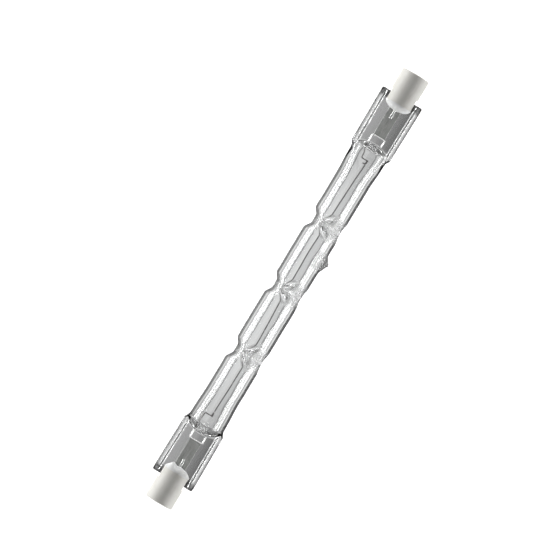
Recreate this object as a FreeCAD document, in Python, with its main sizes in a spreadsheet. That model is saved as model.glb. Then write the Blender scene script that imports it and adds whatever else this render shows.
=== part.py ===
import FreeCAD, Part
import os
import re

import Sketcher
from FreeCAD import Placement, Rotation, Vector

# A double-ended linear halogen lamp lying on its tube. +X runs along the lamp, +Z is up,
# and the origin is on the surface that it lies on, under the middle of its length.
# Every end piece is drawn for the +X end and turned half a turn about Z for the other end.

# Driving dimensions, millimetres and degrees: name, value, meaning.
SIZES = (
    ("overall_length", 117.6, "over both ceramic caps"),
    ("tube_diameter", 8.72, "outside of the quartz tube"),
    ("wall", 1.16, "quartz wall of the tube"),
    ("neck_share", 0.576, "neck from neck, as a share of the round tube's half length"),
    ("neck_shift", -0.4, "middle neck from the middle of the lamp"),
    ("dimple_floor", 1.66, "bottom of a dimple from the tube axis"),
    ("dimple_slope", 38.0, "slope of a dimple's two flanks"),
    ("dimple_flat", 0.9, "flat along the bottom of a dimple"),
    ("dimple_reach", 1.24, "distance of a dimple's turning axis outside the tube"),
    ("channel_floor", 0.52, "pinched wall inside a neck from the tube axis"),
    ("shoulder_length", 7.2, "from the round tube to the seal's shoulder"),
    ("flare_length", 9.0, "from the round tube to the end of the bulb on the web"),
    ("flare_middle", 4.68, "half width of the flare half way to the shoulder"),
    ("flare_widest", 5.3, "half width of the flare at the shoulder"),
    ("cavity_length", 8.1, "from the round tube to the end of the cavity"),
    ("cavity_widest", 3.9, "half width of the cavity where it ends"),
    ("cavity_arc", 8.0, "plan radius of the cavity's end"),
    ("seal_length", 14.4, "one pinch seal"),
    ("seal_width_near", 10.5, "width of a seal beside the bulb"),
    ("seal_width_far", 10.9, "width of a seal at its free end"),
    ("web_thickness", 2.15, "flat middle of a seal"),
    ("rim_width", 1.28, "raised rim along each side of a seal"),
    ("rim_thickness", 4.0, "height of a rim"),
    ("rim_bevel", 0.4, "bevel of a rim's long edges"),
    ("tip_share", 0.297, "exhaust tip from the middle, as a share of the round tube's half length"),
    ("tip_height", 2.4, "exhaust tip above the tube"),
    ("tip_root", 1.05, "exhaust tip's foot below the tube's surface"),
    ("tip_width", 1.7, "width of the exhaust tip's drop"),
    ("tip_mound", 4.5, "thickened patch of wall under the exhaust tip"),
    ("tip_angle", 57.0, "exhaust tip turned from straight up, towards -Y"),
    ("tip_lean", 16.0, "exhaust tip leaning towards +X"),
    ("foil_width", 3.0, "molybdenum foil"),
    ("foil_thickness", 0.03, "middle of the foil"),
    ("foil_feather", 0.5, "width of the foil's thinned edges"),
    ("foil_length", 9.2, "along the lamp"),
    ("foil_margin", 1.8, "quartz beyond the foil's outer end"),
    ("weld_gap", 0.01, "quartz film between the foil and the wires on it"),
    ("inner_lead_diameter", 0.3, "tungsten wire inside the bulb"),
    ("hairpin_width", 3.34, "between the legs of the wire's hairpin in the seal"),
    ("hairpin_leg", 1.9, "free leg of the hairpin"),
    ("weld_overlap", 0.35, "foil beyond the middle of the hairpin's cross leg"),
    ("step_left", 3.9, "wire's step down to the filament, beyond the round tube's -X end"),
    ("step_right", 4.35, "the same at the +X end"),
    ("entry_left", 1.5, "wire's height above the tube axis in the bulb, at the -X end"),
    ("entry_right", 1.05, "the same at the +X end"),
    ("hook_length", 1.0, "wire's last run, along the lamp towards the filament"),
    ("filament_diameter", 0.4, "over the filament's coil"),
    ("level_left", 0.26, "filament's -X end from the tube axis, towards -Y"),
    ("level_right", 0.59, "the same at its +X end"),
    ("filament_sag", 0.52, "slack filament from the tube axis, towards -Y, near its -X end"),
    ("filament_rise", 0.12, "the same towards +Y, past its middle"),
    ("outer_lead_diameter", 0.6, "molybdenum wire to the contact"),
    ("outer_lead_overlap", 3.8, "wire lying on the foil"),
    ("cap_diameter", 7.07, "ceramic cap"),
    ("cap_length", 8.25, "ceramic cap, along the lamp"),
    ("cap_reach", 6.2, "ceramic cap beyond the seal's end"),
    ("slot_thickness", 3.0, "slot of the cap, across the seal's web"),
    ("slot_gap", 1.0, "from the seal's end to the slot's bottom"),
    ("recess_diameter", 3.4, "contact recess in the cap's end"),
    ("recess_depth", 1.7, "from the cap's end to the contact"),
    ("lead_hole_diameter", 0.9, "hole through the cap for the wire"),
    ("button_diameter", 2.6, "contact button"),
    ("button_thickness", 0.6, "the same, along the lamp"),
    ("button_sink", 0.1, "button's face below the bottom of the recess"),
    ("cement_nose", 1.65, "cement cone in front of the cap"),
    ("cement_nose_diameter", 3.0, "small end of that cone"),
    ("cement_inset", 0.4, "cement set back from the cap's side in the slot"),
    ("fit_gap", 0.02, "clearance of a piece in its seat"),
)
ALIASES = {alias for alias, _, _ in SIZES}

# Places along the lamp, from its middle, in the sheet's names.
TUBE_RADIUS = "tube_diameter / 2"
BORE_RADIUS = "(tube_diameter / 2 - wall)"
SEAL_END = "(overall_length / 2 - cap_reach)"
SEAL_START = "(overall_length / 2 - cap_reach - seal_length)"
TUBE_END = "(overall_length / 2 - cap_reach - seal_length - shoulder_length)"
FOIL_END = f"({SEAL_END} - foil_margin)"
FOIL_START = f"({SEAL_END} - foil_margin - foil_length)"
FOIL_TOP = "(-inner_lead_diameter / 2 - weld_gap)"
CAP_END = "(overall_length / 2)"
CAP_START = "(overall_length / 2 - cap_length)"
SLOT_END = f"({SEAL_END} + slot_gap)"
CONTACT = "(overall_length / 2 - recess_depth)"
BUTTON_SEAT = f"({CONTACT} - button_sink - button_thickness)"

# Each end piece's half turn, in degrees, and the sign of the lamp's +Y as that piece is drawn.
ENDS = {"left": (180.0, "-1"), "right": (0.0, "1")}
NECKS = (-1, 0, 1)
DIMPLES_PER_NECK = 3

# Lengths closer to each other than this are the same.
SAME = 1e-6

# The slack filament's bends: shares of the round tube's half length, and the filament's Y there.
FILAMENT_BENDS = ((-0.6, "-filament_sag"), (0.31, "filament_rise"))

doc = FreeCAD.newDocument("linear_halogen_lamp")
sheet = doc.addObject("Spreadsheet::Sheet", "Sizes")
for row, (alias, value, meaning) in enumerate(SIZES, start=1):
    sheet.set(f"A{row}", meaning)
    sheet.set(f"B{row}", str(value))
    sheet.setAlias(f"B{row}", alias)
doc.recompute()


def bound(text):
    """The expression with each of the sheet's names made a reference to its cell."""
    return re.sub(r"[a-z_]+", lambda m: f"Sizes.{m[0]}" if m[0] in ALIASES else m[0], text)


def size(text):
    """The present value of an expression in the sheet's names."""
    return float(sheet.evalExpression(bound(text)))


def bind(thing, **expressions):
    for name, text in expressions.items():
        thing.setExpression(name, bound(text))


def part(kind, name, **expressions):
    """A primitive or a boolean of the document, with its sizes bound to the sheet."""
    thing = doc.addObject(kind, name)
    bind(thing, **expressions)
    return thing


def boolean(kind, name, base, *tools):
    thing = doc.addObject(kind, name)
    if kind == "Part::MultiFuse":
        thing.Shapes = [base, *tools]
    else:
        thing.Base, thing.Tool = base, tools[0]
    return thing


def origin_of(body, role):
    return next(item for item in body.Origin.OriginFeatures if item.Role == role)


def sketch_on(body, role, name, offset=None):
    """A sketch on one of the body's own planes, lifted off it by an expression if one is given."""
    sketch = body.newObject("Sketcher::SketchObject", name)
    sketch.AttachmentSupport = [(origin_of(body, role), "")]
    sketch.MapMode = "FlatFace"
    if offset:
        sketch.setExpression(".AttachmentOffset.Base.z", bound(offset))
    return sketch


def hold(sketch, kind, place, text):
    """A driven constraint of the sketch whose value is the expression."""
    number = sketch.addConstraint(Sketcher.Constraint(kind, *place, size(text)))
    sketch.setExpression(f"Constraints[{number}]", bound(text))


def draw_outline(sketch, corners, closed=True):
    """Straight lines from corner to corner; each corner is a pair of expressions."""
    points = [Vector(size(across), size(up), 0) for across, up in corners]
    lines = len(points) if closed else len(points) - 1
    for number in range(lines):
        after = (number + 1) % len(points)
        sketch.addGeometry(Part.LineSegment(points[number], points[after]), False)
    for number in range(lines if closed else lines - 1):
        after = (number + 1) % len(points)
        sketch.addConstraint(Sketcher.Constraint("Coincident", number, 2, after, 1))
    for number, (across, up) in enumerate(corners):
        corner = (number, 1) if number < lines else (number - 1, 2)
        for kind, text, axis in (("DistanceX", across, -2), ("DistanceY", up, -1)):
            if text == "0":
                sketch.addConstraint(Sketcher.Constraint("PointOnObject", *corner, axis))
            else:
                hold(sketch, kind, (-1, 1, *corner), text)


def draw_circle(sketch, radius, across="0", up="0"):
    centre = Vector(size(across), size(up), 0)
    sketch.addGeometry(Part.Circle(centre, Vector(0, 0, 1), size(radius)), False)
    hold(sketch, "Radius", (0,), radius)
    if across == up == "0":
        sketch.addConstraint(Sketcher.Constraint("Coincident", 0, 3, -1, 1))
    else:
        hold(sketch, "DistanceX", (-1, 1, 0, 3), across)
        hold(sketch, "DistanceY", (-1, 1, 0, 3), up)


def turned(body, name, corners, axis="H_Axis", role="XY_Plane"):
    """A revolution of an outline about one of its sketch's axes."""
    sketch = sketch_on(body, role, f"{name}_outline")
    draw_outline(sketch, corners)
    solid = body.newObject("PartDesign::Revolution", name)
    solid.Profile = sketch
    solid.ReferenceAxis = (sketch, [axis])
    solid.Angle = 360.0
    return solid


def padded(body, name, sketch, length, both_ways=True):
    pad = body.newObject("PartDesign::Pad", name)
    pad.Profile = sketch
    pad.Midplane = both_ways
    bind(pad, Length=length)
    return pad


def pocketed(body, name, sketch, length):
    """A pocket that reaches as far on both sides of its sketch."""
    pocket = body.newObject("PartDesign::Pocket", name)
    pocket.Profile = sketch
    pocket.Midplane = True
    bind(pocket, Length=length)
    return pocket


def bevelled(body, name, base, width, chosen):
    """Chamfers on the edges of the base feature that the test picks."""
    doc.recompute()
    names = [f"Edge{n}" for n, edge in enumerate(base.Shape.Edges, start=1) if chosen(edge)]
    bevel = body.newObject("PartDesign::Chamfer", name)
    bevel.Base = (base, names)
    bind(bevel, Size=width)
    body.Tip = bevel
    return bevel


def placed(thing, label, turn=0.0):
    """The piece in the lamp's frame: turned about Z for its end, and lifted to the tube axis."""
    thing.Label = label
    thing.Placement = Placement(Vector(), Rotation(Vector(0, 0, 1), turn))
    bind(thing, **{".Placement.Base.z": TUBE_RADIUS})
    return thing


# The quartz tube and its bore: a round bar with three dimples around each of its necks.


def dimple_sketch(body, name, neck, floor, flat, top):
    """A dimple in section: two flanks that fall to an edge, or to a flat of a given length."""
    centre = f"({neck} * neck_share * {TUBE_END} + neck_shift)"
    spread = f"({flat} / 2 + ({top} - {floor}) / tan(dimple_slope * 1 deg))"
    bottom = [(centre, floor)]
    if flat != "0":
        bottom = [(f"{centre} - {flat} / 2", floor), (f"{centre} + {flat} / 2", floor)]
    sketch = sketch_on(body, "XY_Plane", name)
    draw_outline(sketch, [(f"{centre} - {spread}", top), *bottom, (f"{centre} + {spread}", top)])
    return sketch


def dimpled_bar(name, radius, cut_dimple):
    """A round bar along the lamp, with a cut repeated around it at each neck."""
    body = doc.addObject("PartDesign::Body", name)
    ring = sketch_on(body, "YZ_Plane", f"{name}_ring")
    draw_circle(ring, radius)
    padded(body, f"{name}_bar", ring, f"2 * {TUBE_END}")
    for neck in NECKS:
        tag = f"{name}_neck_{neck + 2}"
        dimple = cut_dimple(body, tag, neck)
        doc.recompute()
        around = body.newObject("PartDesign::PolarPattern", f"{tag}_dimples")
        around.Originals = [dimple]
        around.Axis = (origin_of(body, "X_Axis"), [""])
        around.Angle = 360.0
        around.Occurrences = DIMPLES_PER_NECK
        body.Tip = around
        doc.recompute()
    return body


def outer_dimple(body, tag, neck):
    """The dimple's section turned about a line beside the tube, as a wheel presses it in."""
    reach = f"({TUBE_RADIUS} + dimple_reach)"
    sketch = dimple_sketch(body, f"{tag}_section", neck, "dimple_floor", "dimple_flat", reach)
    groove = body.newObject("PartDesign::Groove", f"{tag}_dimple")
    sketch.addGeometry(Part.LineSegment(Vector(-1, size(reach), 0), Vector(1, size(reach), 0)), True)
    rule = Sketcher.Constraint
    sketch.addConstraint([rule("Coincident", 4, 1, 3, 2), rule("Coincident", 4, 2, 3, 1)])
    groove.Profile = sketch
    groove.ReferenceAxis = (sketch, ["Axis0"])
    groove.Midplane = True
    groove.Angle = 180.0
    return groove


def inner_dimple(body, tag, neck):
    """The wall inside a neck, pinched flat until only the filament's channel is left."""
    sketch = dimple_sketch(body, f"{tag}_section", neck, "channel_floor", "0", TUBE_RADIUS)
    return pocketed(body, f"{tag}_dimple", sketch, "tube_diameter * 2")


# The bulb's flared ends: turned flares, pressed flat towards the seals.


def flared_end(name, stations, length, drop):
    """What two wide cylinders across the lamp, one from each side, leave of a turned flare."""
    end, radius, widest = f"{TUBE_END} + {length}", stations[0][1], stations[-1][1]
    body = doc.addObject("PartDesign::Body", f"{name}_flare")
    profile = [(TUBE_END, "0"), *stations, (end, widest), (end, "0")]
    turned(body, f"{name}_turned", profile)
    press_radius = f"(({length})^2 + ({drop})^2) / (2 * ({drop}))"
    pressed = body
    for side, sign in (("above", 1), ("below", -1)):
        press = part("Part::Cylinder", f"{name}_{side}", Radius=press_radius)
        bind(press, Height="seal_width_far * 2")
        press.Placement = Placement(Vector(), Rotation(Vector(1, 0, 0), 90))
        bind(press, **{".Placement.Base.x": TUBE_END, ".Placement.Base.y": "seal_width_far"})
        bind(press, **{".Placement.Base.z": f"{sign} * ({radius} - {press_radius})"})
        pressed = boolean("Part::Common", f"{name}_pressed_{side}", pressed, press)
    return pressed


def turned_round(thing, turn):
    """The thing at its own end of the lamp."""
    thing.Placement = Placement(Vector(), Rotation(Vector(0, 0, 1), turn))
    return thing


def bulb_end(end, turn):
    stations = [
        (TUBE_END, TUBE_RADIUS),
        (f"{TUBE_END} + shoulder_length / 2", "flare_middle"),
        (f"{TUBE_END} + shoulder_length", "flare_widest"),
    ]
    drop = f"{TUBE_RADIUS} - web_thickness / 2"
    return turned_round(flared_end(f"bulb_{end}", stations, "flare_length", drop), turn)


def cavity_end(end, turn):
    """The cavity's flared end, closed by an arc across the seal."""
    stations = [(TUBE_END, BORE_RADIUS), (f"{TUBE_END} + shoulder_length", "cavity_widest")]
    flare = flared_end(f"cavity_{end}", stations, "cavity_length", BORE_RADIUS)
    arc = part("Part::Cylinder", f"cavity_{end}_arc", Radius="cavity_arc", Height="tube_diameter")
    bind(arc, **{".Placement.Base.x": f"{TUBE_END} + cavity_length - cavity_arc"})
    bind(arc, **{".Placement.Base.z": f"-{TUBE_RADIUS}"})
    return turned_round(boolean("Part::Common", f"cavity_{end}", flare, arc), turn)


def seal(end, turn):
    """A pinch seal: a flat web with a raised, bevelled rim along each side."""
    body = doc.addObject("PartDesign::Body", f"seal_{end}")
    plan = sketch_on(body, "XY_Plane", f"seal_{end}_plan")
    near, far = "seal_width_near / 2", "seal_width_far / 2"
    corners = [(SEAL_START, f"-{near}"), (SEAL_END, f"-{far}"), (SEAL_END, far), (SEAL_START, near)]
    draw_outline(plan, corners)
    padded(body, f"seal_{end}_web", plan, "web_thickness")
    for side, sign in (("front", "-"), ("back", "")):
        strip = sketch_on(body, "XY_Plane", f"seal_{end}_{side}_plan")
        inside_near, inside_far = f"({near} - rim_width)", f"({far} - rim_width)"
        corners = [(SEAL_START, f"{sign}{inside_near}"), (SEAL_END, f"{sign}{inside_far}")]
        corners += [(SEAL_END, f"{sign}{far}"), (SEAL_START, f"{sign}{near}")]
        draw_outline(strip, corners)
        rims = padded(body, f"seal_{end}_{side}_rim", strip, "rim_thickness")
    level, shortest = size("rim_thickness / 2"), size("seal_length / 2")

    def long_rim_edge(edge):
        return abs(abs(edge.CenterOfMass.z) - level) < SAME and edge.Length > shortest

    bevelled(body, f"seal_{end}_bevel", rims, "rim_bevel", long_rim_edge)
    return turned_round(body, turn)


def exhaust_tip():
    """The drop of glass where the exhaust tube was melted off, on its thickened patch."""
    body = doc.addObject("PartDesign::Body", "exhaust_tip")
    corners = [
        ("0", "-tip_root"), ("tip_mound / 2", "-tip_root"), ("tip_width / 2", "tip_height / 3"),
        ("0", "tip_height"),
    ]
    turned(body, "exhaust_drop", corners, "V_Axis", "XZ_Plane")
    outwards = Rotation(Vector(1, 0, 0), size("tip_angle"))
    body.Placement = Placement(Vector(), outwards * Rotation(Vector(0, 1, 0), size("tip_lean")))
    bind(body, **{".Placement.Base.x": f"tip_share * {TUBE_END}"})
    bind(body, **{".Placement.Base.y": f"-{TUBE_RADIUS} * sin(tip_angle * 1 deg)"})
    bind(body, **{".Placement.Base.z": f"{TUBE_RADIUS} * cos(tip_angle * 1 deg)"})
    return body


# The conductors of one end, from the foil inwards and outwards.


def foil(end, turn):
    """Rolled foil in the seal, thinned to a knife edge along both sides."""
    body = doc.addObject("PartDesign::Body", f"foil_{end}")
    sketch = sketch_on(body, "YZ_Plane", f"foil_{end}_section", FOIL_START)
    half, flat = "foil_width / 2", "(foil_width / 2 - foil_feather)"
    top, low = FOIL_TOP, f"({FOIL_TOP} - foil_thickness)"
    level = f"({FOIL_TOP} - foil_thickness / 2)"
    corners = [(f"-{half}", level), (f"-{flat}", low), (flat, low)]
    corners += [(half, level), (flat, top), (f"-{flat}", top)]
    draw_outline(sketch, corners)
    padded(body, f"foil_{end}_strip", sketch, "foil_length", False)
    return placed(body, f"molybdenum_foil_{end}", turn)


def swept(name, points, radius):
    """A round section carried along straight runs; its points are pairs of expressions."""
    path = doc.addObject("Sketcher::SketchObject", f"{name}_path")
    draw_outline(path, points, closed=False)
    doc.recompute()
    first_run = path.Shape.Edges[0]
    direction = first_run.tangentAt(first_run.FirstParameter)
    section = part("Part::Circle", f"{name}_section", Radius=radius)
    section.Placement = Placement(Vector(), Rotation(Vector(0, 0, 1), direction))
    bind(section, **{".Placement.Base.x": points[0][0], ".Placement.Base.y": points[0][1]})
    sweep = doc.addObject("Part::Sweep", name)
    sweep.Sections = [section]
    sweep.Spine = (path, [f"Edge{n + 1}" for n in range(len(path.Shape.Edges))])
    sweep.Solid = True
    sweep.Transition = "Right corner"
    return sweep


def weld_flat(name, start, length, width):
    """What a wire loses underneath, so that it lies flat on the foil."""
    block = part("Part::Box", name, Length=length, Width=width, Height="outer_lead_diameter * 2")
    bind(block, **{".Placement.Base.x": start, ".Placement.Base.y": f"-({width}) / 2"})
    bind(block, **{".Placement.Base.z": f"{FOIL_TOP} - outer_lead_diameter * 2"})
    return block


def hook_end(end):
    """Where the wire of this end meets the filament."""
    return f"({TUBE_END} + step_{end} - hook_length)"


def inner_lead(end, turn, plus_y):
    """Tungsten wire: a hairpin welded to the foil, a leg into the bulb, a step and a hook."""
    name = f"inner_{end}"
    cross, step = f"({FOIL_START} + weld_overlap)", f"({TUBE_END} + step_{end})"
    leg, entry = f"{plus_y} * hairpin_width / 2", f"{plus_y} * entry_{end}"
    level = f"-{plus_y} * level_{end}"
    points = [
        (f"{cross} - hairpin_leg", f"-{leg}"), (cross, f"-{leg}"), (cross, leg),
        (step, entry), (step, level), (hook_end(end), level),
    ]
    wire = swept(f"{name}_wire", points, "inner_lead_diameter / 2")
    return placed(wire, f"inner_lead_{end}", turn)


def outer_lead(end, turn):
    """Molybdenum wire from the foil through the seal and the cap to the contact button."""
    name = f"outer_{end}"
    start = f"({FOIL_END} - outer_lead_overlap)"
    wire = part("Part::Cylinder", f"{name}_wire", Radius="outer_lead_diameter / 2")
    wire.Placement = Placement(Vector(), Rotation(Vector(0, 1, 0), 90))
    bind(wire, **{"Height": f"{BUTTON_SEAT} - {start}", ".Placement.Base.x": start})
    length = "outer_lead_overlap + fit_gap"
    flat = weld_flat(f"{name}_flat", f"{start} - fit_gap", length, "outer_lead_diameter * 2")
    lead = boolean("Part::Cut", f"{name}_lead", wire, flat)
    return placed(lead, f"outer_lead_{end}", turn)


def filament():
    """The coil's outer form: a slack round rod that drifts sideways between its two wires."""
    bends = [(f"{share} * {TUBE_END}", level) for share, level in FILAMENT_BENDS]
    left, right = (f"({hook_end(end)} - fit_gap)" for end in ("left", "right"))
    points = [(f"-{left}", "-level_left"), *bends, (right, "-level_right")]
    return placed(swept("filament_coil", points, "filament_diameter / 2"), "tungsten_filament")


# The ceramic cap of one end with its contact and its cement.


def draw_slot(sketch, start, end, half):
    """A rectangle along the lamp, as high above its axis as below."""
    draw_outline(sketch, [(start, f"-{half}"), (end, f"-{half}"), (end, half), (start, half)])


def ceramic_cap(end, turn):
    body = doc.addObject("PartDesign::Body", f"cap_{end}")
    outside, recess, seat = "cap_diameter / 2", "recess_diameter / 2", "button_diameter / 2"
    hole = "lead_hole_diameter / 2"
    profile = [
        (CAP_START, hole), (CAP_START, outside), (CAP_END, outside), (CAP_END, recess),
        (CONTACT, recess), (CONTACT, seat), (BUTTON_SEAT, seat), (BUTTON_SEAT, hole),
    ]
    turned(body, f"cap_{end}_turned", profile)
    slot = sketch_on(body, "XZ_Plane", f"cap_{end}_slot_section")
    draw_slot(slot, f"{CAP_START} - cement_nose", SLOT_END, "slot_thickness / 2")
    pocketed(body, f"cap_{end}_slot", slot, "cap_diameter * 2")
    return placed(body, f"ceramic_cap_{end}", turn)


def cap_cement(end, turn):
    """Cement that fills the slot around the web and ends in a cone on it."""
    body = doc.addObject("PartDesign::Body", f"cement_{end}")
    nose = f"({CAP_START} - cement_nose)"
    small, large = "cement_nose_diameter / 2", "cap_diameter / 2 - fit_gap"
    cone = [(nose, "0"), (nose, small), (CAP_START, large), (CAP_START, "0")]
    turned(body, f"cement_{end}_cone", cone)
    fill = sketch_on(body, "XZ_Plane", f"cement_{end}_fill_section")
    draw_slot(fill, CAP_START, SLOT_END, "slot_thickness / 2")
    padded(body, f"cement_{end}_fill", fill, "cap_diameter - 2 * cement_inset")
    web = sketch_on(body, "XZ_Plane", f"cement_{end}_web_section")
    draw_slot(web, f"({nose} - cement_nose)", SEAL_END, "web_thickness / 2")
    pocketed(body, f"cement_{end}_web", web, "cap_diameter * 2")
    hole = sketch_on(body, "YZ_Plane", f"cement_{end}_hole_section")
    draw_circle(hole, "outer_lead_diameter / 2")
    pocketed(body, f"cement_{end}_hole", hole, "overall_length * 2")
    return placed(body, f"cap_cement_{end}", turn)


def contact_button(end, turn):
    """Round contact at the bottom of the cap's recess, welded to the wire's end."""
    body = doc.addObject("PartDesign::Body", f"button_{end}")
    face = sketch_on(body, "YZ_Plane", f"button_{end}_face", BUTTON_SEAT)
    draw_circle(face, "button_diameter / 2 - fit_gap")
    padded(body, f"button_{end}_disc", face, "button_thickness", False)
    return placed(body, f"contact_button_{end}", turn)


pieces = []
conductors = []
solid_quartz = [dimpled_bar("tube", TUBE_RADIUS, outer_dimple), exhaust_tip()]
hollow = [dimpled_bar("bore", BORE_RADIUS, inner_dimple)]
for end, (turn, plus_y) in ENDS.items():
    solid_quartz += [bulb_end(end, turn), seal(end, turn)]
    hollow.append(cavity_end(end, turn))
    conductors += [foil(end, turn), inner_lead(end, turn, plus_y), outer_lead(end, turn)]
    pieces += [ceramic_cap(end, turn), cap_cement(end, turn), contact_button(end, turn)]
pieces += [*conductors, filament()]

outside = placed(boolean("Part::MultiFuse", "quartz_outside", *solid_quartz), "quartz_outside")
inside = placed(boolean("Part::MultiFuse", "quartz_inside", *hollow), "quartz_inside")
blown = boolean("Part::Cut", "quartz_blown", outside, inside)
passages = boolean("Part::MultiFuse", "quartz_passages", *conductors)
envelope = boolean("Part::Cut", "quartz_sealed", blown, passages)
envelope.Label = "quartz_envelope"
pieces.append(envelope)
doc.recompute()

for thing in doc.Objects:
    if {"Invalid", "Error"} & set(thing.State):
        raise RuntimeError(f"{thing.Name} did not build: {thing.State}")
for piece in pieces:
    if piece.Shape.isNull() or not piece.Shape.isValid() or len(piece.Shape.Solids) != 1:
        raise RuntimeError(f"{piece.Label} is not one valid solid")

os.makedirs("parts", exist_ok=True)
for piece in pieces:
    piece.Shape.exportStep(f"parts/{piece.Label}.step")
    print(piece.Label, "volume", round(piece.Shape.Volume, 3), "mm3, faces", len(piece.Shape.Faces))
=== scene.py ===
import math

import bmesh
import bpy
import numpy as np
from mathutils import Euler, Matrix, Vector


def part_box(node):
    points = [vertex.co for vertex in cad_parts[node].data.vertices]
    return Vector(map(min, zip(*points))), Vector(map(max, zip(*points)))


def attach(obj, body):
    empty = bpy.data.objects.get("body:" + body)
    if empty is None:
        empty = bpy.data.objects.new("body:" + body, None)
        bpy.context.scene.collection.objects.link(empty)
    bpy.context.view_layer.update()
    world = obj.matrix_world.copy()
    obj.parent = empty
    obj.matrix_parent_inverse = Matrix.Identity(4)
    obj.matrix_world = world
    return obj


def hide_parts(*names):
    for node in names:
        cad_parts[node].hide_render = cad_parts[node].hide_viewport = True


bl_info = {
    "name": "Linear halogen bulb",
    "version": (1, 0, 0),
    "blender": (4, 5, 0),
    "location": "View3D > Sidebar > Bulb",
    "description": "Builds a clear linear halogen bulb with its stage around the packed CAD frame",
    "category": "Object",
}

# The frame: metres, +X along the bulb, +Z up, origin on the floor under the middle.
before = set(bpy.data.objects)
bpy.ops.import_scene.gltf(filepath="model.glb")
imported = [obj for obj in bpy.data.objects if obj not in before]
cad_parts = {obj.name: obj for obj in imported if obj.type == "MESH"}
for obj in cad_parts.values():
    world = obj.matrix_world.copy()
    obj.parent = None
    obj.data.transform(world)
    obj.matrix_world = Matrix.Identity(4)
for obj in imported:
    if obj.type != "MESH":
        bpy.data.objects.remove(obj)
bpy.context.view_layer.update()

MM = 0.001
SEAL_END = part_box("quartz_envelope")[1].x / MM
AXIS_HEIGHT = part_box("ceramic_cap_right")[0].z / 2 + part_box("ceramic_cap_right")[1].z / 2
# Takes millimetres about the bulb's axis to their place in the frame.
IN_PLACE = Matrix.Translation((0, 0, AXIS_HEIGHT)) @ Matrix.Scale(MM, 4)
ENDS = {"left": -1.0, "right": 1.0}
WHITE, BLACK = (1.0, 1.0, 1.0, 1.0), (0.0, 0.0, 0.0, 1.0)


# Sizes and colours that a user would change.


def in_mm(label, about, millimetres):
    return bpy.props.FloatProperty(
        name=label, description=about, default=millimetres * MM, unit="LENGTH"
    )


def in_degrees(label, about, degrees):
    return bpy.props.FloatProperty(
        name=label, description=about, default=math.radians(degrees), subtype="ANGLE"
    )


def plain_number(label, about, value):
    return bpy.props.FloatProperty(name=label, description=about, default=value)


def tint(label, about, value):
    return bpy.props.FloatVectorProperty(
        name=label, description=about, subtype="COLOR", default=value, min=0.0, max=1.0
    )


class BulbQuartz(bpy.types.PropertyGroup):
    radius: in_mm("Tube radius", "Outside of the quartz tube", 4.36)
    bore: in_mm("Bore radius", "Inside of the quartz tube", 3.2)
    round_end: in_mm("Round stretch", "Middle of the bulb to the end of the round tube", 33)
    ramp_foot: in_mm("Ramp foot", "Middle of the bulb to where its pressed ramps meet the seal", 39.6)
    cavity_end: in_mm("Cavity end", "Middle of the bulb to the end of its cavity", 39.35)
    seal_start: in_mm("Seal start", "Middle of the bulb to the shoulder of a pinch seal", 38.1)
    seal_half_width: in_mm("Seal half width", "Half of a seal's width at its shoulder", 5.22)
    seal_flare: in_mm("Seal flare", "Half width that a seal gains up to its free end", 0.2)
    web_half: in_mm("Web half thickness", "Half of the flat middle of a seal", 1.075)
    rim_half: in_mm("Rim half height", "Half the height of a seal's rims", 2)
    rim_width: in_mm("Rim width", "Width of a seal's rims", 1.28)
    neck_pitch: in_mm("Neck pitch", "From one pinched neck to the next", 17.85)
    neck_shift: in_mm("Neck shift", "Middle neck from the middle of the bulb", -0.4)
    neck_half_length: in_mm("Neck half length", "Middle of a neck to its shoulder", 4)
    dimple_floor: in_mm("Dimple floor", "Bottom of a neck's dimple from the tube's axis", 2.6)
    dimple_wheel: in_mm("Dimple wheel", "Tube's axis to the axis of a dimple's wheel", 5.6)
    channel_floor: in_mm("Channel floor", "Pinched wall inside a neck from the tube's axis", 1.3)
    tip_place: in_mm("Tip place", "Exhaust tip from the middle of the bulb", 9.2)
    tip_height: in_mm("Tip height", "Height of the exhaust tip above the tube", 1.5)
    tip_angle: in_degrees("Tip angle", "Exhaust tip from +Y, turned towards +Z", 160)
    colour: tint("Quartz colour", "Tint of the clear quartz", (0.985, 0.99, 0.99))


class BulbWires(bpy.types.PropertyGroup):
    coil_radius: in_mm("Coil radius", "Middle of the filament's wire from the coil's axis", 0.15)
    coil_wire: in_mm("Coil wire", "Radius of the filament's wire", 0.035)
    coil_pitch: in_mm("Coil pitch", "From one turn of the filament to the next", 0.12)
    inner_radius: in_mm("Inner lead", "Radius of the wire inside the bulb", 0.15)
    outer_radius: in_mm("Outer lead", "Radius of the wire from the foil to the contact", 0.3)
    foil_width: in_mm("Foil width", "Width of the foil in a seal", 3)
    foil_start: in_mm("Foil start", "Middle of the bulb to the foil's inner end", 41.75)
    foil_end: in_mm("Foil end", "Middle of the bulb to the foil's outer end", 50.8)
    tungsten: tint("Tungsten colour", "Grey of the tungsten", (0.075, 0.072, 0.07))
    molybdenum: tint("Molybdenum colour", "Grey of the molybdenum", (0.24, 0.245, 0.235))


class BulbCaps(bpy.types.PropertyGroup):
    radius: in_mm("Cap radius", "Outside of the ceramic cap", 3.535)
    start: in_mm("Cap start", "Middle of the bulb to the cap's inner end", 50.55)
    end: in_mm("Cap end", "Middle of the bulb to the cap's outer end", 58.8)
    slot_end: in_mm("Slot end", "Middle of the bulb to the bottom of the cap's slot", 53.6)
    slot_half: in_mm("Slot half width", "Half of the slot across the seal's web", 1.5)
    recess_radius: in_mm("Recess radius", "Contact recess in the cap's end", 1.7)
    contact: in_mm("Contact", "Middle of the bulb to the contact", 57.1)
    button_radius: in_mm("Button radius", "Contact button below the recess", 1.28)
    nose: in_mm("Cement nose", "Cement in front of the cap", 1.65)
    ceramic: tint("Ceramic colour", "White of the ceramic", (0.86, 0.85, 0.805))
    cement: tint("Cement colour", "White of the cement", (0.94, 0.95, 0.95))
    nickel: tint("Contact colour", "Grey of the contact", (0.42, 0.4, 0.37))


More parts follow.
